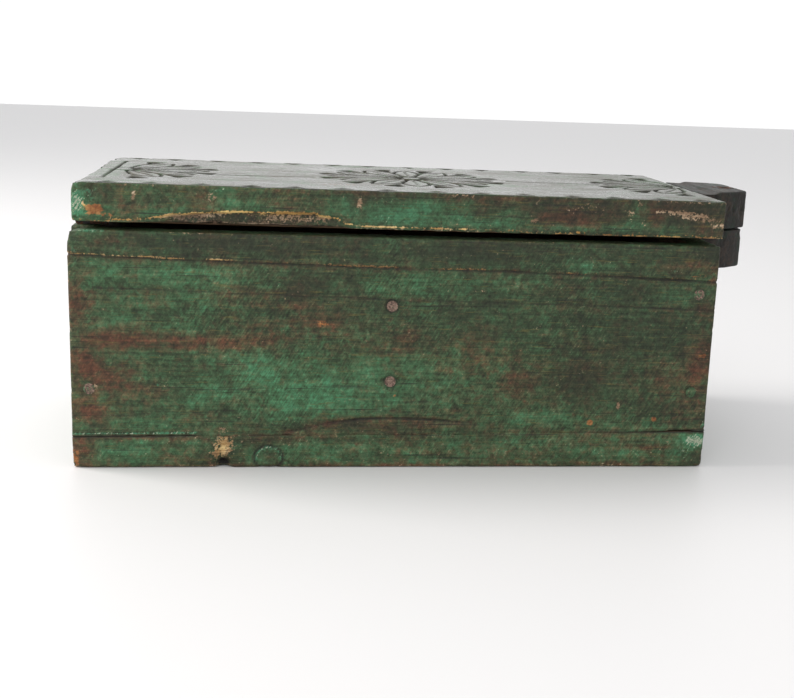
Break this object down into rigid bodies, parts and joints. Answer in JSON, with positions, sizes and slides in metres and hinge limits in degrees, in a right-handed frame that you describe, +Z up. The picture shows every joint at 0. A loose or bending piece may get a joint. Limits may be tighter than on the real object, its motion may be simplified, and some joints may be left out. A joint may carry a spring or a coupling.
{
  "type": "cash box",
  "caption": "Old hand-made wooden cash box: pegged boards in worn green paint, chip-carved plank lid on iron hinges, split wooden nose bored for a padlock.",
  "frame": {"origin": "underside of the base, midway along the lid and across the box", "axes": "+X along the box from the hinge end to the lock end, +Y across it, +Z up"},
  "size_m": [0.3312, 0.1396, 0.1325],
  "materials": {
    "box_paint": "old green paint worn through to brown wood, matt",
    "lid_paint": "dark green-brown, rubbed to a dull shine on top, green on the edges",
    "bare_wood": "bare aged wood",
    "nose_wood": "nearly black handled wood, satin",
    "peg_wood": "pinkish brown end grain",
    "old_iron": "blackened, rusted iron"
  },
  "bodies": {
    "box": {"back_board": "box_paint", "base_board": "box_paint", "base_nail_1": "old_iron", "base_nail_2": "old_iron", "base_nail_3": "old_iron", "base_nail_4": "old_iron", "base_nail_5": "old_iron", "base_nail_6": "old_iron", "base_nail_7": "old_iron", "base_nail_8": "old_iron", "corner_peg_1": "peg_wood", "corner_peg_2": "peg_wood", "corner_peg_3": "peg_wood", "corner_peg_4": "peg_wood", "corner_peg_5": "peg_wood", "corner_peg_6": "peg_wood", "corner_peg_7": "peg_wood", "corner_peg_8": "peg_wood", "divider": "bare_wood", "divider_peg_1": "peg_wood", "divider_peg_2": "peg_wood", "divider_peg_3": "peg_wood", "divider_peg_4": "peg_wood", "front_board": "box_paint", "hinge_leaf_lower_far": "old_iron", "hinge_leaf_lower_near": "old_iron", "hinge_nail_lower_1": "old_iron", "hinge_nail_lower_2": "old_iron", "hinge_nail_lower_3": "old_iron", "hinge_nail_lower_4": "old_iron", "hinge_pin_far": "old_iron", "hinge_pin_near": "old_iron", "keeper_block": "nose_wood", "keeper_dowel_1": "peg_wood", "keeper_dowel_2": "peg_wood", "shackle_ring_lower": "old_iron", "side_board_far": "box_paint", "side_board_near": "box_paint"},
    "lid": {"hinge_leaf_upper_far": "old_iron", "hinge_leaf_upper_near": "old_iron", "hinge_nail_upper_1": "old_iron", "hinge_nail_upper_2": "old_iron", "hinge_nail_upper_3": "old_iron", "hinge_nail_upper_4": "old_iron", "lid_board": "lid_paint", "lid_nose": "nose_wood", "lid_nose_dowel_1": "peg_wood", "lid_nose_dowel_2": "peg_wood", "shackle_ring_upper": "old_iron"}
  },
  "joints": [
    {"name": "lid_hinge", "type": "hinge", "parent": "box", "child": "lid", "pos_m": [-0.149, 0, 0.113], "axis": [0, -1, 0], "range_deg": [0, 102]}
  ]
}
